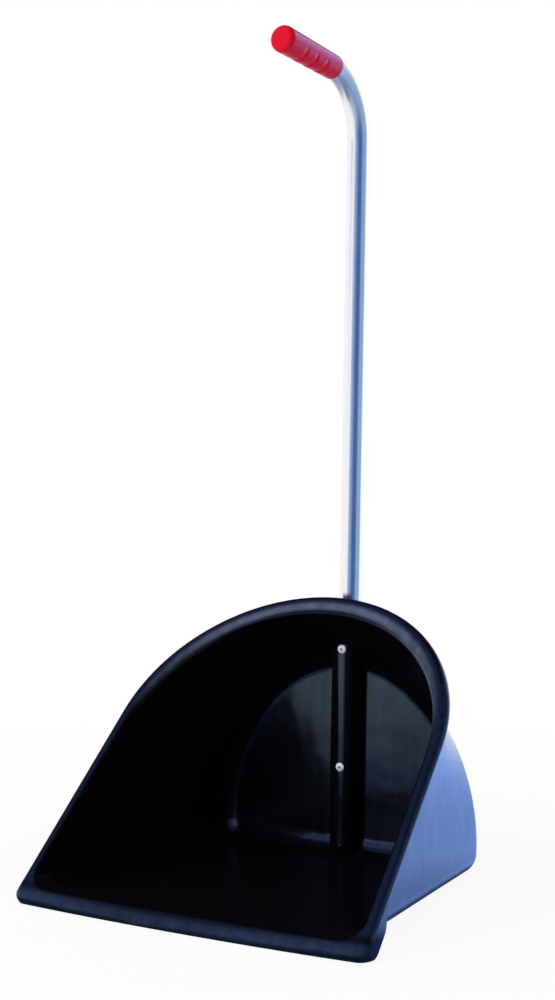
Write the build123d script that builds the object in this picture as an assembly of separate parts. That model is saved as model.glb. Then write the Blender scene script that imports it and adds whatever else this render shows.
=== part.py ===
from build123d import *
import os
from math import acos, atan2, cos, hypot, pi, radians, sin, sqrt, tan

# Long-handled manure scoop: a moulded pan with a rolled rim, a bent tube handle that lies in a
# channel down the pan's back wall, two blind rivets through the channel, and a hand grip.
# Millimetres. +X is the pan's width, +Y points to the back, +Z is up.
# The origin is on the ground, under the middle of the scoop's length.
# It is modelled with the lip edge on y = 0 and moved there at the end.

# Rim of the pan, measured in its own sloping plane from the lip edge
lip_width = 394.0
arch_radius = 186.0
arch_centre = 237.0
rim_slope = radians(42.0)
lip_corner_radius = 12.0
lip_bow = 5.2
lip_band = 17.5
side_band = 10.0
arch_band = 26.0
rim_rise = 4.8
rim_round = 6.5
rim_inner_round = 3.0
side_skirt = 3.0
corner_skirt = 17.5
corner_skirt_end = 48.0
side_skirt_start = 70.0
skirt_round = 16.0

# Pan body
wall = 3.0
lip_to_back = 339.0
lip_to_ledge_end = 35.0
lip_to_floor = 68.0
mouth_corner_radius = 25.0
floor_corner_radius = 40.0
mouth_flank_foot = 90.0
back_lean = radians(1.8)
back_radius = 125.5
back_centre = 82.5
back_foot_width = 310.0
back_corner_radius = 20.0
back_straight = 3.0
back_round = 18.0

# Handle tube
tube_diameter = 22.0
tube_wall = 1.5
tube_before_back = 3.5
tube_foot = 14.0
bend_start = 771.0
bend_radius = 71.0
bend_angle = radians(84.7)

# Channel for the tube, and the ridge that it makes inside the pan
channel_clearance = 0.8
channel_wall = 5.2
ridge_root_round = 5.5

# Blind rivets, by their height along the tube
rivet_heights = {"lower": 98.0, "upper": 226.0}
rivet_diameter = 4.8
rivet_hole_clearance = 0.1
rivet_head_overhang = 2.4
rivet_head_height = 1.7
rivet_seat_depth = 0.9
rivet_seat_clearance = 0.4
rivet_bulb_overhang = 1.2
rivet_bulb_length = 3.6
rivet_bulb_gap = 0.05
rivet_bulb_round = 1.2
mandrel_diameter = 2.8
mandrel_clearance = 0.05
mandrel_head_diameter = 4.4
mandrel_head_length = 2.6
mandrel_head_round = 0.9
mandrel_recess = 0.6

# Hand grip
grip_tip_wall = 2.8
grip_mouth_wall = 1.9
grip_length = 109.2
grip_end_wall = 6.0
grip_over_bend = 6.0
grip_bore_clearance = 0.1
grip_flare = 0.5
grip_flare_length = 14.0
grip_end_round = 5.0
grip_mouth_round = 1.2
finger_count = 3
finger_pitch = 22.0
finger_depth = 1.4
finger_round = 14.0
finger_start = 33.0

# Alignment of solids that stand on their plane
on_base = (Align.CENTER, Align.CENTER, Align.MIN)

# Margins for trimming: a space larger than the scoop, a reach past the pan, a small overlap,
# and the depth that the underside loses where it is cut flat
far = 1200.0
past_pan = 120.0
spare = 3.0
ground_trim = 0.3

# Worked-out sizes
tube_radius = tube_diameter / 2
channel_radius = tube_radius + channel_clearance
ridge_radius = channel_radius + channel_wall
rivet_radius = rivet_diameter / 2
rivet_hole_radius = rivet_radius + rivet_hole_clearance
rivet_head_radius = rivet_radius + rivet_head_overhang
rivet_seat = ridge_radius - rivet_seat_depth
bulb_radius = rivet_radius + rivet_bulb_overhang
bulb_top = sqrt((tube_radius - tube_wall)**2 - bulb_radius**2) - rivet_bulb_gap
bulb_foot = bulb_top - rivet_bulb_length
grip_bore_radius = tube_radius + grip_bore_clearance
grip_tip_radius = grip_bore_radius + grip_tip_wall
grip_mouth_radius = grip_bore_radius + grip_mouth_wall
back_y = lip_to_back
tube_y = back_y - tube_before_back


# Planes with x across the pan, y upwards and z towards the front
rim_plane = Plane((0, 0, 0), x_dir=(1, 0, 0), z_dir=(0, -sin(rim_slope), cos(rim_slope)))
back_plane = Plane((0, back_y, 0), x_dir=(1, 0, 0), z_dir=(0, -cos(back_lean), sin(back_lean)))

# Lean of the rim's straight sides, which run from the lip corners tangent to the arch
rim_tilt = acos(arch_radius / hypot(lip_width / 2, arch_centre)) - atan2(arch_centre, lip_width / 2)

# Height of the level ledge behind the lip's sloping band
ledge_level = lip_band * sin(rim_slope) + rim_rise * cos(rim_slope)

# Where the back wall's flanks start, above the rounded corners and a short upright
back_flank_foot = wall + back_corner_radius + back_straight

# The mouth of the tub lies inside the rim's band
mouth_radius = arch_radius - side_band
mouth_centre = arch_centre - (arch_band - side_band)

# Tube frame: heights run up the leaning tube axis, and forward is square to it
up = Vector(0, sin(back_lean), cos(back_lean))
forward = Vector(0, -cos(back_lean), sin(back_lean))
grip_axis = up * cos(bend_angle) + forward * sin(bend_angle)


def tube_point(height, ahead=0.0):
    """A point in the tube's bending plane."""
    return Vector(0, tube_y, 0) + up * height + forward * ahead


def cross_plane(height):
    """Plane across the tube at a height: x across the pan, y to the back."""
    return Plane(tube_point(height), x_dir=(1, 0, 0), z_dir=up)


def front_plane(height):
    """Plane through the tube axis at a height: x across the pan, z to the front."""
    return Plane(tube_point(height), x_dir=(1, 0, 0), z_dir=forward)


def half_space():
    """Everything under a plane's z = 0."""
    return Pos(0, 0, -far / 2) * Box(far, far, far)


def rim_sides(radius, centre, foot):
    """The right-hand foot corner and shoulder of a D with the rim's lean."""
    half_foot = (radius + (centre - foot) * sin(rim_tilt)) / cos(rim_tilt)
    shoulder = (radius * cos(rim_tilt), centre + radius * sin(rim_tilt))
    return half_foot, shoulder


def rim_face(inset, foot, corner):
    """The rim's outline as a D: slightly bowed foot, leaning sides and a round arch."""
    radius = arch_radius - inset
    corner_y = foot + lip_bow
    half_foot, (x, y) = rim_sides(radius, arch_centre, corner_y)
    face = make_face([
        ThreePointArc((-half_foot, corner_y), (0, foot), (half_foot, corner_y)),
        Line((half_foot, corner_y), (x, y)),
        ThreePointArc((x, y), (0, arch_centre + radius), (-x, y)),
        Line((-x, y), (-half_foot, corner_y)),
    ])
    return fillet(face.vertices().group_by(Axis.Y)[0], corner)


def back_flank(grow):
    """The back wall's flank, from upright at its foot to the arch: its radius, centre and turn."""
    half_foot = back_foot_width / 2 + grow
    radius = back_radius + grow
    drop = back_centre - back_flank_foot
    flank_radius = (half_foot**2 + drop**2 - radius**2) / (2 * (half_foot - radius))
    flank_x = half_foot - flank_radius
    return flank_radius, flank_x, atan2(drop, -flank_x)


def mouth_split(grow):
    """Where the mouth's arch and the back's flank are split, so that the walls run evenly between them.

    Gives the angle on the mouth's arch and the angle on the back's flank.
    """
    radius = mouth_radius + grow
    straight = (mouth_centre - mouth_flank_foot + radius * sin(rim_tilt)) / cos(rim_tilt)
    flank_radius, _, turn = back_flank(grow)
    flank_length = flank_radius * turn
    half_arch = (back_radius + grow) * (pi / 2 - turn)
    rest = radius * (pi / 2 * flank_length + rim_tilt * half_arch) - straight * half_arch
    arch_angle = rest / (radius * (flank_length + half_arch))
    run = straight + radius * (arch_angle - rim_tilt)
    return arch_angle, turn * straight / run


def on_arc(centre, radius, angle):
    """A point on an arc."""
    return centre[0] + radius * cos(angle), centre[1] + radius * sin(angle)


def upper_face(right, crown):
    """A face from its right side's lines and arcs, a crown arc and a straight foot."""
    foot_x, foot_y = right[0][0]
    edges = [Line((-foot_x, foot_y), (foot_x, foot_y)), ThreePointArc(*crown)]
    for run in right:
        flipped = [(-x, y) for x, y in run]
        maker = Line if len(run) == 2 else ThreePointArc
        edges += [maker(*run), maker(*flipped)]
    return make_face(edges)


def lower_face(top, foot, corner):
    """A trough's section from its right-hand top and foot corners, with round corners at the foot."""
    across = [(-top[0], top[1]), (-foot[0], foot[1]), foot, top]
    face = make_face(Polyline(*across, close=True))
    return fillet(face.vertices().group_by(Axis.Y)[0], corner)


def mouth_upper(grow):
    """The tub's mouth above its flank foot, its sides and arch split to match the back wall."""
    radius = mouth_radius + grow
    split_x, shoulder = rim_sides(radius, mouth_centre, mouth_flank_foot)
    arch_angle, _ = mouth_split(grow)
    centre = (0, mouth_centre)
    crown_end = on_arc(centre, radius, arch_angle)
    right = [
        [(split_x, mouth_flank_foot), shoulder],
        [shoulder, on_arc(centre, radius, (rim_tilt + arch_angle) / 2), crown_end],
    ]
    crown = [crown_end, on_arc(centre, radius, pi / 2), (-crown_end[0], crown_end[1])]
    return upper_face(right, crown)


def back_upper(grow):
    """The back wall above its flank foot: flanks that curve in, and a round arch."""
    radius = back_radius + grow
    flank_radius, flank_x, turn = back_flank(grow)
    _, flank_angle = mouth_split(grow)
    centre = (flank_x, back_flank_foot)
    split = on_arc(centre, flank_radius, flank_angle)
    crown_end = on_arc(centre, flank_radius, turn)
    right = [
        [on_arc(centre, flank_radius, 0), on_arc(centre, flank_radius, flank_angle / 2), split],
        [split, on_arc(centre, flank_radius, (flank_angle + turn) / 2), crown_end],
    ]
    crown = [crown_end, (0, back_centre + radius), (-crown_end[0], crown_end[1])]
    return upper_face(right, crown)


def trough(front, back, grow, floor):
    """The tub's lower part: a ledge behind the lip, a ramp, then a level floor, between two upright sides."""
    half_back = back_foot_width / 2 + grow
    back_top = (half_back, back_flank_foot)
    back_foot = (half_back, (floor + grow * sin(back_lean)) / cos(back_lean))
    radius = mouth_radius + grow
    mouth_top = (rim_sides(radius, mouth_centre, mouth_flank_foot)[0], mouth_flank_foot)
    front_rise = rim_plane.to_local_coords(front.origin).Z
    mouth_foot_y = (ledge_level - grow - front_rise * cos(rim_slope)) / sin(rim_slope)
    mouth_foot = (rim_sides(radius, mouth_centre, mouth_foot_y)[0], mouth_foot_y)
    top_start = front.from_local_coords((*mouth_top, 0))
    top_end = back.from_local_coords((*back_top, 0))
    depth = front_rise - rim_plane.to_local_coords(top_end).Z
    sections = [front * lower_face(mouth_top, mouth_foot, mouth_corner_radius + grow)]
    ledge_end = Vector(0, lip_to_ledge_end, ledge_level - grow)
    floor_start = Vector(0, lip_to_floor, floor)
    for point, corner in ((ledge_end, mouth_corner_radius), (floor_start, floor_corner_radius)):
        foot = rim_plane.to_local_coords(point)
        share = (front_rise - foot.Z) / depth
        top = rim_plane.to_local_coords(top_start + (top_end - top_start) * share)
        half_foot = top.X + (top.Y - foot.Y) * tan(rim_tilt) * (1 - share)
        section = lower_face((top.X, top.Y), (half_foot, foot.Y), corner + grow)
        sections.append(rim_plane * Pos(0, 0, foot.Z) * section)
    sections.append(back * lower_face(back_top, back_foot, back_corner_radius + grow))
    return loft(sections, ruled=True)


def tub(grow, floor):
    """The pan's hollow grown by a thickness, open a little past the rim, with its back edge rounded."""
    front = rim_plane.offset(rim_rise + spare)
    back = back_plane.offset(-grow)
    body = loft([front * mouth_upper(grow), back * back_upper(grow)], ruled=True)
    body = body + trough(front, back, grow, floor)
    back_edges = body.faces().sort_by(Axis((0, 0, 0), -forward))[-1].edges()
    return fillet(back_edges, back_round + grow)


def rim_side_view():
    """The space for the rim seen from the side: above the ground, with a skirt that deepens at the lip corners.

    x runs up the rim's slope and y out of its plane.
    """
    front_y = rim_rise + spare
    top_x = arch_centre + arch_radius + spare
    corners = [
        (-front_y / tan(rim_slope), front_y),
        (corner_skirt / tan(rim_slope), -corner_skirt),
        (corner_skirt_end, -corner_skirt),
        (side_skirt_start, -side_skirt),
        (top_x, -side_skirt),
        (top_x, front_y),
    ]
    face = make_face(Polyline(*corners, close=True))
    skirt_corners = [face.vertices().sort_by_distance(corner)[0] for corner in corners[1:4]]
    return fillet(skirt_corners, skirt_round)


def rolled_rim():
    """The rim's rounded band and the skirt turned back behind it, hollow, cut off at the ground."""
    depth = rim_rise + corner_skirt
    crest = rim_plane * Pos(0, 0, rim_rise)
    outer_shape = rim_face(0, 0, lip_corner_radius)
    outer = extrude(crest * outer_shape, amount=-depth)
    outer = fillet(outer.faces().sort_by(Axis((0, 0, 0), rim_plane.z_dir))[-1].edges(), rim_round)
    inner_shape = rim_face(wall, wall, lip_corner_radius - wall)
    inner = extrude(crest * Pos(0, 0, -wall) * inner_shape, amount=-depth)
    inner = fillet(inner.faces().sort_by(Axis((0, 0, 0), rim_plane.z_dir))[-1].edges(), rim_round - wall)
    side_plane = Plane((0, 0, 0), x_dir=rim_plane.y_dir, z_dir=(1, 0, 0))
    kept = extrude(side_plane * rim_side_view(), amount=lip_width, both=True)
    return (outer - inner) & kept


def ridge_half():
    """Half of the ridge's section: the crown's quarter round, then a root round that meets the back wall."""
    reach = ridge_radius + ridge_root_round
    root_y = tube_before_back - ridge_root_round
    root_x = sqrt(reach**2 - root_y**2)
    touch = Vector(root_x, root_y) * (ridge_radius / reach)
    crown_turn = atan2(touch.X, -touch.Y) / 2
    crown_mid = (ridge_radius * sin(crown_turn), -ridge_radius * cos(crown_turn))
    root_turn = (radians(90) + atan2(-root_y, -root_x) % radians(360)) / 2
    root_mid = (root_x + ridge_root_round * cos(root_turn), root_y + ridge_root_round * sin(root_turn))
    rear = tube_before_back + wall / 2
    return make_face([
        ThreePointArc((0, -ridge_radius), crown_mid, touch),
        ThreePointArc(touch, root_mid, (root_x, tube_before_back)),
        Line((root_x, tube_before_back), (root_x, rear)),
        Line((root_x, rear), (0, rear)),
        Line((0, rear), (0, -ridge_radius)),
    ])


def channel_half():
    """Half of the channel's section: a quarter round in front, straight and open to the back."""
    side = channel_radius * sin(radians(45))
    rear = tube_radius + past_pan
    return make_face([
        ThreePointArc((0, -channel_radius), (side, -side), (channel_radius, 0)),
        Line((channel_radius, 0), (channel_radius, rear)),
        Line((channel_radius, rear), (0, rear)),
        Line((0, rear), (0, -channel_radius)),
    ])


def round_footed(half_section, top):
    """A section run up the tube from the tube's foot, ending below in its own half turn."""
    plane = cross_plane(tube_foot)
    half = plane * half_section
    other = plane * mirror(half_section, Plane.YZ)
    run = extrude(half, amount=top - tube_foot) + extrude(other, amount=top - tube_foot)
    turn_axis = Axis(plane.origin, plane.y_dir)
    return run + revolve(half, turn_axis, 180)


def scoop_pan():
    """The one-piece moulded pan: rolled rim, tub, and the ridge and channel that take the tube."""
    top = rim_plane.from_local_coords((0, arch_centre + arch_radius, 0)).Z + past_pan
    in_front = rim_plane * Pos(0, 0, rim_rise) * Rot(X=180) * half_space()
    hollow = tub(0.0, wall) - round_footed(ridge_half(), top)
    body = rolled_rim() + (tub(wall, -ground_trim) - in_front - half_space())
    body = body - round_footed(channel_half(), top) - hollow
    for height in rivet_heights.values():
        plane = front_plane(height)
        hole = Cylinder(rivet_hole_radius, ridge_radius, align=on_base)
        seat = Cylinder(rivet_head_radius + rivet_seat_clearance, ridge_radius, align=on_base)
        body = body - plane * hole - plane * Pos(0, 0, rivet_seat) * seat
    return fillet(rim_mouth_edges(body), rim_inner_round)


def rim_mouth_edges(body):
    """The inner edges of the rim's front face, where the band turns into the tub."""
    crest = body.faces().sort_by(Axis((0, 0, 0), rim_plane.z_dir))[-1]
    return crest.inner_wires()[0].edges()


def tube_path():
    """The tube's centre line: straight up from its foot, a bend to the front, a straight end."""
    end_run = grip_length - grip_over_bend - grip_end_wall
    half = bend_angle / 2
    bend_mid = tube_point(bend_start + bend_radius * sin(half), bend_radius * (1 - cos(half)))
    bend_end = tube_point(bend_start + bend_radius * sin(bend_angle), bend_radius * (1 - cos(bend_angle)))
    tip = bend_end + grip_axis * end_run
    return [
        Line(tube_point(tube_foot), tube_point(bend_start)),
        ThreePointArc(tube_point(bend_start), bend_mid, bend_end),
        Line(bend_end, tip),
    ]


def handle_tube():
    """The bent tube, open at its foot, with a hole in its front wall for each rivet."""
    section = cross_plane(tube_foot) * (Circle(tube_radius) - Circle(tube_radius - tube_wall))
    tube = sweep(section, path=Wire(tube_path()))
    for height in rivet_heights.values():
        hole = Cylinder(rivet_hole_radius, ridge_radius, align=on_base)
        tube = tube - front_plane(height) * hole
    return tube


def head_dome(radius):
    """Height of the rivet head's round top at a radius from its axis."""
    ball = (rivet_head_radius**2 + rivet_head_height**2) / (2 * rivet_head_height)
    return rivet_seat + rivet_head_height - ball + sqrt(ball**2 - radius**2)


def rivet_body(height):
    """A set blind rivet's body: domed head on the ridge, shank through the walls, bulb inside the tube."""
    bore = mandrel_diameter / 2 + mandrel_clearance
    dome_mid = (bore + rivet_head_radius) / 2
    half = make_face([
        Line((bore, bulb_foot), (bulb_radius, bulb_foot)),
        Line((bulb_radius, bulb_foot), (bulb_radius, bulb_top)),
        Line((bulb_radius, bulb_top), (rivet_radius, bulb_top)),
        Line((rivet_radius, bulb_top), (rivet_radius, rivet_seat)),
        Line((rivet_radius, rivet_seat), (rivet_head_radius, rivet_seat)),
        ThreePointArc(
            (rivet_head_radius, rivet_seat),
            (dome_mid, head_dome(dome_mid)),
            (bore, head_dome(bore)),
        ),
        Line((bore, head_dome(bore)), (bore, bulb_foot)),
    ])
    half = fillet(half.vertices().sort_by_distance((bulb_radius, bulb_foot))[0], rivet_bulb_round)
    return front_plane(height) * revolve(Plane.XZ * half, Axis.Z)


def rivet_mandrel(height):
    """The broken-off mandrel that stays in a set rivet: its stem, and its round head under the bulb."""
    stem_top = rivet_seat + rivet_head_height - mandrel_recess
    head = Cylinder(mandrel_head_diameter / 2, mandrel_head_length, align=on_base)
    head = fillet(head.edges().group_by(Axis.Z)[0], mandrel_head_round)
    stem = Cylinder(mandrel_diameter / 2, stem_top - bulb_foot, align=on_base)
    whole = Pos(0, 0, bulb_foot - mandrel_head_length) * head + Pos(0, 0, bulb_foot) * stem
    return front_plane(height) * whole


def hand_grip():
    """The push-on grip: closed round end, a mouth flared over the bend, and finger scallops underneath.

    It is made standing on its closed end, with y pointing to the underside.
    """
    tip = tube_path()[-1] @ 1 + grip_axis * grip_end_wall
    plane = Plane(tip, x_dir=(1, 0, 0), z_dir=-grip_axis)
    body = Cone(grip_tip_radius, grip_mouth_radius, grip_length, align=on_base)
    body = fillet(body.edges().group_by(Axis.Z)[0], grip_end_round)
    body = fillet(body.edges().group_by(Axis.Z)[-1], grip_mouth_round)
    body = body - Pos(0, 0, grip_end_wall) * Cylinder(grip_bore_radius, grip_length, align=on_base)
    flare = Cone(grip_bore_radius, grip_bore_radius + grip_flare, grip_flare_length, align=on_base)
    body = body - Pos(0, 0, grip_length - grip_flare_length) * flare
    for finger in range(finger_count):
        along = finger_start + finger * finger_pitch
        radius = grip_tip_radius + (grip_mouth_radius - grip_tip_radius) * along / grip_length
        scallop = Torus(radius + finger_round, finger_round)
        body = body - Pos(0, -finger_depth, along) * scallop
    return plane * body


pieces = {
    "scoop_pan": scoop_pan(),
    "handle_tube": handle_tube(),
    "hand_grip": hand_grip(),
}
for name, height in rivet_heights.items():
    pieces[f"{name}_rivet_body"] = rivet_body(height)
    pieces[f"{name}_rivet_mandrel"] = rivet_mandrel(height)

# Move the scoop so that the origin is under the middle of its length
boxes = [piece.bounding_box() for piece in pieces.values()]
middle_y = (min(box.min.Y for box in boxes) + max(box.max.Y for box in boxes)) / 2

os.makedirs("parts", exist_ok=True)
for name, piece in pieces.items():
    export_step(Pos(0, -middle_y, 0) * piece, f"parts/{name}.step")
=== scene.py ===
"""A long-handled manure scoop: finishes for its pieces, a pale floor, soft light and a camera."""
from collections import namedtuple
from math import cos, radians, sin

import bpy
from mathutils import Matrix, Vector

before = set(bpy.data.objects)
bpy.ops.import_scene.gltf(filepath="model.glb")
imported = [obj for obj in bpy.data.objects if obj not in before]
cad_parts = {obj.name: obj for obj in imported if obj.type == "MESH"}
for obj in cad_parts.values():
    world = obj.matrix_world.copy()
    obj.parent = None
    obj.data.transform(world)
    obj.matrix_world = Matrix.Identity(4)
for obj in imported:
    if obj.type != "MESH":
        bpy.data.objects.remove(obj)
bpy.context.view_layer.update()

# Camera: its place in metres, its angles in degrees, where 0 looks level along +Y, and its lens
# and sensor in millimetres
CAMERA_PLACE = Vector((0.936, -1.6149, 0.5172))
CAMERA_AZIMUTH = 30.05
CAMERA_ELEVATION = 3.73
CAMERA_LENS = 66.9
CAMERA_SENSOR = 36.0

# Light: an even fill, a large key lamp, and a small blue lamp behind the grip
WHITE = (1.0, 1.0, 1.0)
FILL_COLOUR = (0.45, 0.46, 0.48)
KEY_PLACE = Vector((-1.5, -2.0, 2.0))
KEY_TARGET = Vector((0.0, 0.0, 0.4))
KEY_SIZE = 2.0
KEY_POWER = 58.0
RIM_LAMP_PLACE = Vector((0.15, 0.62, 0.92))
RIM_LAMP_TARGET = Vector((0.0, 0.0, 0.86))
RIM_LAMP_SIZE = (0.50, 0.56)
RIM_LAMP_POWER = 3.2
RIM_LAMP_COLOUR = (0.10, 0.42, 1.0)

# Surroundings that show in reflections: soft round cards, each laid over the ones before it.
# A card has a turn from the camera toward the picture's right and a climb, the radius of its
# even middle and of its faded edge, all in degrees, and a colour.
CARDS = (
    ("upper sky", 0.0, 90.0, 40.0, 75.0, (0.15, 0.20, 0.50)),
    ("rear sky", 180.0, 48.0, 25.0, 38.0, (0.02, 0.03, 0.12)),
    ("left sky", -65.0, 25.0, 10.0, 22.0, (0.45, 0.52, 0.95)),
    ("left rear sky", -145.0, 37.0, 18.0, 28.0, (0.02, 0.03, 0.06)),
    ("right upper sky", 65.0, 38.0, 25.0, 42.0, (0.07, 0.12, 0.30)),
    ("rear horizon", 165.0, -8.0, 15.0, 30.0, (0.95, 1.10, 1.45)),
    ("right ground", 90.0, -45.0, 42.0, 58.0, (0.17, 0.28, 0.53)),
    ("rear ground", 165.0, -40.0, 18.0, 26.0, (0.03, 0.04, 0.08)),
    ("left rear ground", -165.0, -45.0, 22.0, 32.0, (0.30, 0.34, 0.55)),
    ("front", 10.0, 0.0, 15.0, 50.0, (0.20, 0.30, 0.58)),
    ("right side", 92.0, 0.0, 32.0, 48.0, (0.29, 0.42, 0.59)),
    ("right sky", 78.0, 18.0, 8.0, 16.0, (0.12, 0.28, 0.75)),
    ("right front", 32.0, 0.0, 18.0, 32.0, (0.055, 0.125, 0.36)),
    ("front ground", 10.0, -50.0, 15.0, 30.0, (0.45, 0.50, 0.72)),
    ("right rear ground", 138.0, -15.0, 6.0, 25.0, (0.66, 1.08, 2.35)),
)

# Places and directions on the object
ORIGIN = (0.0, 0.0, 0.0)
RIGHTWARD = (1.0, 0.0, 0.0)
UPWARD = (0.0, 0.0, 1.0)

# Results that rise from none to all, or fall from all to none
RISE = (0.0, 1.0)
FALL = (1.0, 0.0)

# A noise pattern has a scale for a metre, a detail, and a stretch and turn of the places under it.
# A relief is a bump's strength and its height in metres.
NO_STRETCH = (1.0, 1.0, 1.0)
NO_TURN = (0.0, 0.0, 0.0)
Pattern = namedtuple("Pattern", "scale detail stretch turn", defaults=(NO_STRETCH, NO_TURN))
Relief = namedtuple("Relief", "strength height")
NOISE_MIDDLE = (0.3, 0.7)

# Plastic of the pan: a colour with scratches, slight waves and a fine grain. Streaks and a cloud,
# added up, make its roughness and gloss uneven.
PAN_COLOUR = (0.0028, 0.0030, 0.0040)
PAN_TINT = (0.52, 0.72, 1.0, 1.0)
PAN_SCRATCHES = Pattern(160.0, 2.0, stretch=(1.0, 0.06, 1.0), turn=(0.0, 0.0, 0.35))
SCRATCH_LIMITS = (0.66, 0.78)
SCRATCH_COLOUR = (0.010, 0.011, 0.013)
SCRATCH_SHARE = 0.3
SCRATCH_ROUGHNESS = 0.10
PAN_WAVES = Pattern(32.0, 1.0)
PAN_WAVE_RELIEF = Relief(1.0, 0.0005)
PAN_GRAIN = Pattern(1400.0, 1.0)
PAN_GRAIN_RELIEF = Relief(0.08, 0.0002)
PAN_STREAKS = Pattern(90.0, 3.0, stretch=(1.0, 1.0, 0.12))
PAN_CLOUD = Pattern(14.0, 4.0)
ROUGHNESS_LIMITS = (0.7, 1.3)
PAN_ROUGHNESS = (0.10, 0.17)
GLOSS_LIMITS = (0.75, 1.25)
UNEVEN_GLOSS = (0.65, 1.0)

# Rim of the pan: its plane, the middle of its arch in that plane, and the lip, which bows forward
RIM_NORMAL = (0.0, -0.669, 0.743)
RIM_UPHILL = (0.0, 0.743, 0.669)
ARCH_MIDDLE = (0.0, -0.009, 0.1586)
LIP_TO_ARCH_MIDDLE = 0.237
LIP_BOW = 0.0052
LIP_HALF_WIDTH = 0.18
RimPlace = namedtuple("RimPlace", "radius behind above across")

# Painted highlight along the middle of the rim's band, a pale colour where a rounded band would shine:
# where it starts, is full, starts to fade and ends. It comes in patches, of a mottle and the pan's
# cloud.
ARCH_HIGHLIGHT = (0.162, 0.168, 0.171, 0.178)
ARCH_HIGHLIGHT_HEIGHT = (0.16, 0.26)
ARCH_HIGHLIGHT_COLOUR = (0.105, 0.125, 0.170)
LIP_HIGHLIGHT = (-0.002, 0.005, 0.007, 0.0165)
LIP_HIGHLIGHT_COLOUR = (0.020, 0.032, 0.068)
HIGHLIGHT_ABOVE_RIM = (-0.003, 0.002)
HIGHLIGHT_MOTTLE = Pattern(110.0, 3.0, stretch=(1.0, 0.5, 0.5), turn=(0.0, 0.0, 0.6))
MOTTLE_SHARE = 0.6
PATCH_LIMITS = (0.35, 0.62)
PATCH_HIGHLIGHT = (0.5, 1.0)

# Gloss of the pan, and what dulls it: a level floor, the arch's inner edge, the lip, walls inside
# that face right, up to a place right of the middle, and the right flank of the ridge inside
PAN_GLOSS = 0.90
FLOOR_FACING = (0.80, 0.95)
FLOOR_GLOSS = 0.01
ARCH_EDGE = (0.160, 0.168)
ARCH_EDGE_GLOSS = 0.2
LIP_DULL = (-0.012, -0.008, 0.018, 0.024)
LIP_GLOSS = 0.3
EDGE_DEPTH = (-0.004, 0.000)
INSIDE_RIGHTWARD = (0.90, 0.0, 0.44)
INSIDE_FACING = (0.5, 0.8)
INSIDE_GLOSS = 0.10
INSIDE_END = (0.04, 0.05)
RIDGE_WIDTH = (-0.04, -0.03, 0.03, 0.04)
RIDGE_FACING = (0.12, 0.32)

# Metal of the tube: lines along it, smudges, and a bend that is duller above a height
TUBE_COLOURS = ((0.86, 0.87, 0.89), (0.93, 0.94, 0.95))
TUBE_LINES = Pattern(2200.0, 2.0, stretch=(1.0, 1.0, 0.01))
TUBE_LINE_RELIEF = Relief(0.04, 0.0001)
TUBE_ROUGHNESS = (0.16, 0.24)
TUBE_SMUDGE = Pattern(60.0, 3.0, stretch=(1.0, 1.0, 0.35))
SMUDGE_LIMITS = (0.4, 0.7)
SMUDGE_ROUGHNESS = (0.0, 0.06)
BEND_HEIGHT = (0.77, 0.80)
BEND_ROUGHNESS = (0.0, 0.14)

# Plastic of the grip
GRIP_COLOURS = ((0.66, 0.004, 0.016), (0.82, 0.010, 0.034))
GRIP_CLOUD = Pattern(55.0, 3.0)
GRIP_ROUGHNESS = (0.27, 0.35)
GRIP_GLOSS = 0.13
GRIP_TINT = (1.0, 0.35, 1.0, 1.0)
GRIP_GRAIN = Pattern(1800.0, 1.0)
GRIP_GRAIN_RELIEF = Relief(0.08, 0.0002)

# Metals of the rivets, both with small dents
RIVET_DENTS = Pattern(900.0, 3.0)
RivetMetal = namedtuple("RivetMetal", "metallic colours roughness relief")
BODY_METAL = RivetMetal(
    metallic=0.10,
    colours=((0.94, 0.94, 0.95), (0.98, 0.98, 0.98)),
    roughness=(0.30, 0.42),
    relief=Relief(0.15, 0.0004),
)
MANDREL_METAL = RivetMetal(
    metallic=1.0,
    colours=((0.10, 0.10, 0.11), (0.30, 0.30, 0.32)),
    roughness=(0.45, 0.60),
    relief=Relief(0.6, 0.0004),
)

# Floor, with a faint shadow that fades out with distance
FLOOR_SIZE = 16.0
FLOOR_LEVEL = -0.0005
FLOOR_COLOUR = (0.9, 0.9, 0.9)
SHADOW_SPREAD = (0.30, 1.00)
SHADOW_KEPT = 0.08

# Shaded floor that shows in reflections: a ring round the scoop, and the floor in front of it as
# far as a reflection reaches. One from the back wall reaches further where it is shallow, so that
# its way along the floor is nearly as long as the ray.
SHADE_COLOUR = (0.06, 0.10, 0.35)
SHADE_RING = (0.19, 0.30)
SHADE_RING_SHARE = 0.45
SHADE_FRONT = (-0.10, -0.03)
STEEP_REACH = (0.35, 1.00)
SHALLOW_REACH = (0.35, 1.40)
SHALLOW_LIMITS = (0.92, 0.97)
BACK_WALL_FOOT = (0.09, 0.158, 0.0)


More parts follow.
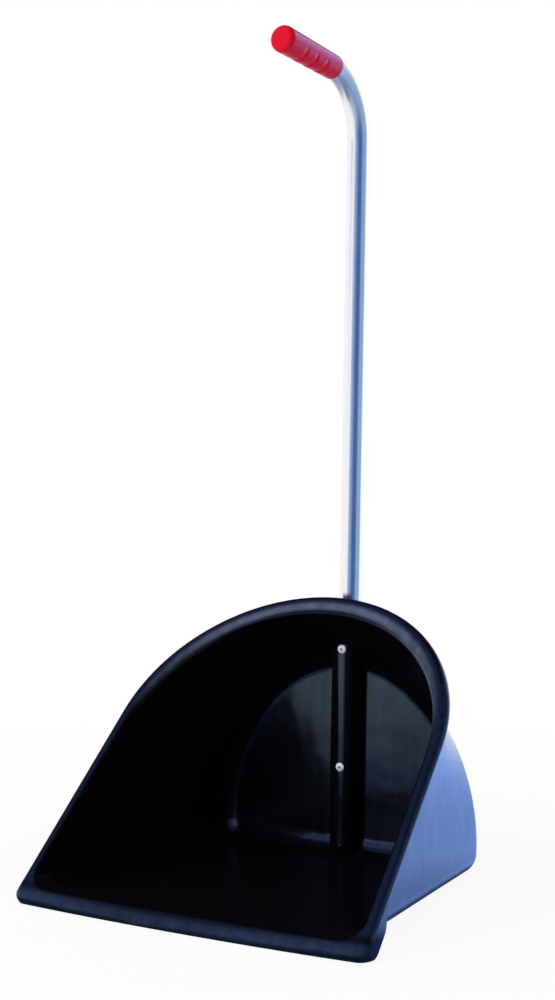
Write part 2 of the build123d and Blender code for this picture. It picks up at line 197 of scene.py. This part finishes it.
class Nodes:
    """A node tree with short calls to add and join nodes."""

    def __init__(self, tree):
        self.tree = tree
        self.tree.nodes.clear()

    def add(self, kind, **settings):
        node = self.tree.nodes.new(kind)
        for name, value in settings.items():
            setattr(node, name, value)
        return node

    def join(self, source, target):
        self.tree.links.new(source, target)

    def object_place(self, stretch=NO_STRETCH, turn=NO_TURN):
        """Places on the object, in metres, stretched and turned."""
        place = self.add("ShaderNodeTexCoord").outputs["Object"]
        mapping = self.add("ShaderNodeMapping")
        mapping.inputs["Scale"].default_value = stretch
        mapping.inputs["Rotation"].default_value = turn
        self.join(place, mapping.inputs["Vector"])
        return mapping.outputs["Vector"]

    def along(self, axis):
        """Places on the object along X, Y or Z."""
        node = self.add("ShaderNodeSeparateXYZ")
        self.join(self.object_place(), node.inputs["Vector"])
        return node.outputs[axis]

    def distance(self, point):
        """How far places on the object are from a point."""
        node = self.add("ShaderNodeVectorMath", operation="DISTANCE")
        self.join(self.object_place(), node.inputs[0])
        node.inputs[1].default_value = point
        return node.outputs["Value"]

    def dot(self, vector, direction):
        node = self.add("ShaderNodeVectorMath", operation="DOT_PRODUCT")
        self.join(vector, node.inputs[0])
        node.inputs[1].default_value = direction
        return node.outputs["Value"]

    def facing(self, direction):
        """How squarely a surface faces a direction on the object: 1 is straight at it."""
        return self.dot(self.add("ShaderNodeTexCoord").outputs["Normal"], direction)

    def noise(self, pattern):
        node = self.add("ShaderNodeTexNoise")
        node.inputs["Scale"].default_value = pattern.scale
        node.inputs["Detail"].default_value = pattern.detail
        self.join(self.object_place(pattern.stretch, pattern.turn), node.inputs["Vector"])
        return node.outputs["Fac"]

    def remap(self, value, limits, results, kind="LINEAR"):
        """The first result up to the lower limit, the second from the higher one, a mix between."""
        node = self.add("ShaderNodeMapRange", interpolation_type=kind)
        node.inputs["From Min"].default_value, node.inputs["From Max"].default_value = limits
        node.inputs["To Min"].default_value, node.inputs["To Max"].default_value = results
        self.join(value, node.inputs["Value"])
        return node.outputs["Result"]

    def math(self, operation, first, second=0.0):
        """Arithmetic on two values, each a float or a socket."""
        node = self.add("ShaderNodeMath", operation=operation)
        for socket, value in zip(node.inputs, (first, second)):
            if isinstance(value, float):
                socket.default_value = value
            else:
                self.join(value, socket)
        return node.outputs["Value"]

    def product(self, first, *others):
        for other in others:
            first = self.math("MULTIPLY", first, other)
        return first

    def band(self, value, start, full, fade, end):
        """A soft band: 0 before its start, 1 from full to fade and 0 after its end."""
        rise = self.remap(value, (start, full), RISE, kind="SMOOTHSTEP")
        fall = self.remap(value, (fade, end), FALL, kind="SMOOTHSTEP")
        return self.product(rise, fall)

    def blend(self, factor, first, second):
        """Mix of two colours, each a tuple or a socket."""
        node = self.add("ShaderNodeMix", data_type="RGBA")
        self.join(factor, node.inputs["Factor"])
        for name, value in (("A", first), ("B", second)):
            socket = next(s for s in node.inputs if s.name == name and s.type == "RGBA")
            if isinstance(value, tuple):
                socket.default_value = (*value, 1.0)
            else:
                self.join(value, socket)
        return next(s for s in node.outputs if s.type == "RGBA")

    def bump(self, height, relief, under=None):
        """Fine relief, laid over an earlier one where there is one."""
        node = self.add("ShaderNodeBump")
        node.inputs["Strength"].default_value = relief.strength
        node.inputs["Distance"].default_value = relief.height
        self.join(height, node.inputs["Height"])
        if under is not None:
            self.join(under, node.inputs["Normal"])
        return node.outputs["Normal"]

    def emission(self, colour):
        node = self.add("ShaderNodeEmission")
        node.inputs["Color"].default_value = (*colour, 1.0)
        return node.outputs["Emission"]

    def blend_shaders(self, factor, first, second):
        node = self.add("ShaderNodeMixShader")
        self.join(factor, node.inputs["Fac"])
        self.join(first, node.inputs[1])
        self.join(second, node.inputs[2])
        return node.outputs["Shader"]


def new_material(name):
    """A new material and its empty node tree."""
    material = bpy.data.materials.new(name)
    material.use_nodes = True
    return material, Nodes(material.node_tree)


def new_finish(name):
    """A new material, its nodes and its Principled shader."""
    material, nodes = new_material(name)
    shader = nodes.add("ShaderNodeBsdfPrincipled")
    output = nodes.add("ShaderNodeOutputMaterial")
    nodes.join(shader.outputs["BSDF"], output.inputs["Surface"])
    return material, nodes, shader


def rim_place(nodes):
    """Places by the rim: from the arch's middle, behind the lip, above the rim's plane, and across."""
    away = nodes.add("ShaderNodeVectorMath", operation="SUBTRACT")
    nodes.join(nodes.object_place(), away.inputs[0])
    away.inputs[1].default_value = ARCH_MIDDLE
    place = away.outputs["Vector"]
    uphill = nodes.dot(place, RIM_UPHILL)
    above = nodes.dot(place, RIM_NORMAL)
    across = nodes.dot(place, RIGHTWARD)
    squares = nodes.math("ADD", nodes.product(across, across), nodes.product(uphill, uphill))
    radius = nodes.math("SQRT", squares)
    lip_share = nodes.math("DIVIDE", across, LIP_HALF_WIDTH)
    bow = nodes.product(lip_share, lip_share, LIP_BOW)
    behind = nodes.math("SUBTRACT", nodes.math("ADD", uphill, LIP_TO_ARCH_MIDDLE), bow)
    return RimPlace(radius, behind, above, across)


def rim_highlights(nodes, rim, cloud):
    """Painted highlights on the arch and on the lip, each from 0 to 1, in uneven patches."""
    high = nodes.remap(nodes.along("Z"), ARCH_HIGHLIGHT_HEIGHT, RISE)
    proud = nodes.remap(rim.above, HIGHLIGHT_ABOVE_RIM, RISE)
    mottle = nodes.product(nodes.noise(HIGHLIGHT_MOTTLE), MOTTLE_SHARE)
    patches = nodes.math("ADD", mottle, nodes.product(cloud, 1.0 - MOTTLE_SHARE))
    patchy_highlight = nodes.product(proud, nodes.remap(patches, PATCH_LIMITS, PATCH_HIGHLIGHT))
    # Painted highlight: a pale colour on the arch's band and the lip, where a rounded band would shine
    arch = nodes.product(patchy_highlight, high, nodes.band(rim.radius, *ARCH_HIGHLIGHT))
    lip = nodes.product(patchy_highlight, nodes.band(rim.behind, *LIP_HIGHLIGHT))
    return arch, lip


def pan_gloss(nodes, rim):
    """Gloss of the pan, by which way it faces and where it is."""
    floor = nodes.remap(nodes.facing(UPWARD), FLOOR_FACING, (PAN_GLOSS, FLOOR_GLOSS))
    arch_edge = nodes.remap(rim.radius, ARCH_EDGE, (ARCH_EDGE_GLOSS, 1.0))
    lip = nodes.remap(nodes.band(rim.behind, *LIP_DULL), RISE, (1.0, LIP_GLOSS))
    under_rim = nodes.remap(rim.above, EDGE_DEPTH, FALL)
    edge = nodes.math("MAXIMUM", nodes.math("MINIMUM", arch_edge, lip), under_rim)
    wall = nodes.remap(nodes.facing(INSIDE_RIGHTWARD), INSIDE_FACING, (1.0, INSIDE_GLOSS))
    inside = nodes.math("MAXIMUM", wall, nodes.remap(rim.across, INSIDE_END, RISE))
    beside_ridge = nodes.remap(nodes.band(rim.across, *RIDGE_WIDTH), RISE, FALL)
    flank = nodes.remap(nodes.facing(RIGHTWARD), RIDGE_FACING, (1.0, INSIDE_GLOSS))
    ridge = nodes.math("MAXIMUM", beside_ridge, flank)
    return nodes.product(floor, edge, inside, ridge)


def pan_plastic():
    """Moulded black plastic with flow streaks, faint scratches, slight waves and a painted rim
    highlight.
    """
    material, nodes, shader = new_finish("pan_plastic")
    cloud = nodes.noise(PAN_CLOUD)
    uneven = nodes.math("ADD", nodes.noise(PAN_STREAKS), cloud)
    scratches = nodes.remap(nodes.noise(PAN_SCRATCHES), SCRATCH_LIMITS, RISE)
    rim = rim_place(nodes)
    arch_highlight, lip_highlight = rim_highlights(nodes, rim, cloud)
    colour = nodes.blend(nodes.product(scratches, SCRATCH_SHARE), PAN_COLOUR, SCRATCH_COLOUR)
    # Painted highlights on the rim's arch and lip, mixed into the base colour
    colour = nodes.blend(arch_highlight, colour, ARCH_HIGHLIGHT_COLOUR)
    colour = nodes.blend(lip_highlight, colour, LIP_HIGHLIGHT_COLOUR)
    nodes.join(colour, shader.inputs["Base Color"])
    rough = nodes.remap(uneven, ROUGHNESS_LIMITS, PAN_ROUGHNESS)
    rough = nodes.math("ADD", rough, nodes.product(scratches, SCRATCH_ROUGHNESS))
    nodes.join(rough, shader.inputs["Roughness"])
    gloss = nodes.product(pan_gloss(nodes, rim), nodes.remap(uneven, GLOSS_LIMITS, UNEVEN_GLOSS))
    nodes.join(gloss, shader.inputs["Specular IOR Level"])
    shader.inputs["Specular Tint"].default_value = PAN_TINT
    waves = nodes.bump(nodes.noise(PAN_WAVES), PAN_WAVE_RELIEF)
    grain = nodes.bump(nodes.noise(PAN_GRAIN), PAN_GRAIN_RELIEF, under=waves)
    nodes.join(grain, shader.inputs["Normal"])
    return material


def tube_metal():
    """Drawn aluminium tube: fine lines along its length, soft smudges and a duller bend."""
    material, nodes, shader = new_finish("tube_metal")
    lines = nodes.noise(TUBE_LINES)
    smudge = nodes.noise(TUBE_SMUDGE)
    shader.inputs["Metallic"].default_value = 1.0
    nodes.join(nodes.blend(smudge, *TUBE_COLOURS), shader.inputs["Base Color"])
    bent = nodes.remap(nodes.along("Z"), BEND_HEIGHT, BEND_ROUGHNESS)
    rough = nodes.math("ADD", nodes.remap(lines, NOISE_MIDDLE, TUBE_ROUGHNESS), bent)
    rough = nodes.math("ADD", rough, nodes.remap(smudge, SMUDGE_LIMITS, SMUDGE_ROUGHNESS))
    nodes.join(rough, shader.inputs["Roughness"])
    nodes.join(nodes.bump(lines, TUBE_LINE_RELIEF), shader.inputs["Normal"])
    return material


def grip_plastic():
    """Soft red plastic, a little uneven in colour and gloss."""
    material, nodes, shader = new_finish("grip_plastic")
    cloud = nodes.noise(GRIP_CLOUD)
    nodes.join(nodes.blend(cloud, *GRIP_COLOURS), shader.inputs["Base Color"])
    nodes.join(nodes.remap(cloud, NOISE_MIDDLE, GRIP_ROUGHNESS), shader.inputs["Roughness"])
    shader.inputs["Specular IOR Level"].default_value = GRIP_GLOSS
    shader.inputs["Specular Tint"].default_value = GRIP_TINT
    nodes.join(nodes.bump(nodes.noise(GRIP_GRAIN), GRIP_GRAIN_RELIEF), shader.inputs["Normal"])
    return material


def rivet_metal(name, metal):
    """Soft metal with small dents."""
    material, nodes, shader = new_finish(name)
    dents = nodes.noise(RIVET_DENTS)
    shader.inputs["Metallic"].default_value = metal.metallic
    nodes.join(nodes.blend(dents, *metal.colours), shader.inputs["Base Color"])
    nodes.join(nodes.remap(dents, NOISE_MIDDLE, metal.roughness), shader.inputs["Roughness"])
    nodes.join(nodes.bump(dents, metal.relief), shader.inputs["Normal"])
    return material


def finish_nodes():
    """Give every CAD piece its material."""
    pan = pan_plastic()
    tube = tube_metal()
    grip = grip_plastic()
    rivet = rivet_metal("rivet_metal", BODY_METAL)
    mandrel = rivet_metal("mandrel_steel", MANDREL_METAL)
    finishes = {
        "scoop_pan": pan,
        "handle_tube": tube,
        "hand_grip": grip,
        "upper_rivet_body": rivet,
        "lower_rivet_body": rivet,
        "upper_rivet_mandrel": mandrel,
        "lower_rivet_mandrel": mandrel,
    }
    for name, material in finishes.items():
        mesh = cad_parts[name].data
        mesh.materials.clear()
        mesh.materials.append(material)


def reflected_floor(nodes, distance):
    """The floor as reflections show it: shaded close to the scoop and clear further away."""
    ring = nodes.remap(distance, SHADE_RING, (SHADE_RING_SHARE, 0.0))
    reach = nodes.add("ShaderNodeLightPath").outputs["Ray Length"]
    steep_shade = nodes.remap(reach, STEEP_REACH, FALL)
    level_share = nodes.math("DIVIDE", nodes.distance(BACK_WALL_FOOT), reach)
    shallow = nodes.remap(level_share, SHALLOW_LIMITS, RISE)
    shallow_shade = nodes.product(shallow, nodes.remap(reach, SHALLOW_REACH, FALL))
    in_front = nodes.remap(nodes.along("Y"), SHADE_FRONT, FALL)
    front = nodes.product(in_front, nodes.math("MAXIMUM", steep_shade, shallow_shade))
    clear = nodes.add("ShaderNodeBsdfTransparent").outputs["BSDF"]
    shade = nodes.emission(SHADE_COLOUR)
    return nodes.blend_shaders(nodes.math("MAXIMUM", ring, front), clear, shade)


def seen_floor(nodes, distance):
    """The floor as the camera shows it: a faint shadow close to the scoop, and white further away."""
    diffuse = nodes.add("ShaderNodeBsdfDiffuse")
    diffuse.inputs["Color"].default_value = (*FLOOR_COLOUR, 1.0)
    glow = nodes.emission(WHITE)
    glow_share = nodes.remap(distance, SHADOW_SPREAD, (1.0 - SHADOW_KEPT, 1.0))
    seen = nodes.add("ShaderNodeLightPath").outputs["Is Camera Ray"]
    return nodes.blend_shaders(nodes.product(glow_share, seen), diffuse.outputs["BSDF"], glow)


def make_floor():
    """A pale floor, with its own look in reflections."""
    half = FLOOR_SIZE / 2
    outline = ((-half, -half), (half, -half), (half, half), (-half, half))
    mesh = bpy.data.meshes.new("floor")
    mesh.from_pydata([(x, y, FLOOR_LEVEL) for x, y in outline], [], [(0, 1, 2, 3)])
    floor = bpy.data.objects.new("floor", mesh)
    bpy.context.scene.collection.objects.link(floor)
    material, nodes = new_material("floor")
    distance = nodes.distance(ORIGIN)
    mirrored = nodes.add("ShaderNodeLightPath").outputs["Is Glossy Ray"]
    look = nodes.blend_shaders(mirrored, seen_floor(nodes, distance), reflected_floor(nodes, distance))
    output = nodes.add("ShaderNodeOutputMaterial")
    nodes.join(look, output.inputs["Surface"])
    mesh.materials.append(material)


def card_direction(turn, climb):
    """The direction of a card as seen from the scoop."""
    azimuth = radians(CAMERA_AZIMUTH + turn)
    level = cos(radians(climb))
    return Vector((sin(azimuth) * level, -cos(azimuth) * level, sin(radians(climb))))


def make_world():
    """White for the camera, cards on white for reflections, and an even fill for the rest."""
    world = bpy.data.worlds.new("studio")
    world.use_nodes = True
    bpy.context.scene.world = world
    nodes = Nodes(world.node_tree)
    direction = nodes.add("ShaderNodeTexCoord").outputs["Generated"]
    surroundings = WHITE
    for name, turn, climb, middle, edge, colour in CARDS:
        toward = nodes.dot(direction, card_direction(turn, climb))
        limits = (cos(radians(edge)), cos(radians(middle)))
        share = nodes.remap(toward, limits, RISE, kind="SMOOTHSTEP")
        share.node.label = name
        surroundings = nodes.blend(share, surroundings, colour)
    path = nodes.add("ShaderNodeLightPath")
    lit = nodes.blend(path.outputs["Is Glossy Ray"], FILL_COLOUR, surroundings)
    colour = nodes.blend(path.outputs["Is Camera Ray"], lit, WHITE)
    background = nodes.add("ShaderNodeBackground")
    nodes.join(colour, background.inputs["Color"])
    output = nodes.add("ShaderNodeOutputWorld")
    nodes.join(background.outputs["Background"], output.inputs["Surface"])


def place_lamp(light, place, target):
    """Put a lamp in the scene, aimed at a point and out of the camera's sight."""
    lamp = bpy.data.objects.new(light.name, light)
    lamp.location = place
    lamp.rotation_euler = (target - place).to_track_quat("-Z", "Y").to_euler()
    lamp.visible_camera = False
    bpy.context.scene.collection.objects.link(lamp)
    return lamp


def make_key():
    """A large soft lamp in front, to the left, that lights surfaces and doesn't show in reflections."""
    light = bpy.data.lights.new("key", "AREA")
    light.size = KEY_SIZE
    light.energy = KEY_POWER
    lamp = place_lamp(light, KEY_PLACE, KEY_TARGET)
    lamp.visible_glossy = False


def make_rim_lamp():
    """A small blue lamp behind, to the right, that edges the grip alone."""
    light = bpy.data.lights.new("rim_lamp", "AREA")
    light.shape = "RECTANGLE"
    light.size, light.size_y = RIM_LAMP_SIZE
    light.energy = RIM_LAMP_POWER
    light.color = RIM_LAMP_COLOUR
    lamp = place_lamp(light, RIM_LAMP_PLACE, RIM_LAMP_TARGET)
    lit = bpy.data.collections.new("rim_lamp_lit")
    lit.objects.link(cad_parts["hand_grip"])
    lamp.light_linking.receiver_collection = lit


def make_camera():
    """The photograph's viewpoint."""
    camera = bpy.data.cameras.new("camera")
    camera.lens = CAMERA_LENS
    camera.sensor_width = CAMERA_SENSOR
    camera.dof.use_dof = False
    eye = bpy.data.objects.new("camera", camera)
    eye.location = CAMERA_PLACE
    eye.rotation_euler = (radians(90.0 - CAMERA_ELEVATION), 0.0, radians(CAMERA_AZIMUTH))
    bpy.context.scene.collection.objects.link(eye)
    bpy.context.scene.camera = eye


bpy.context.scene.view_settings.view_transform = "Standard"
finish_nodes()
make_floor()
make_world()
make_key()
make_rim_lamp()
make_camera()
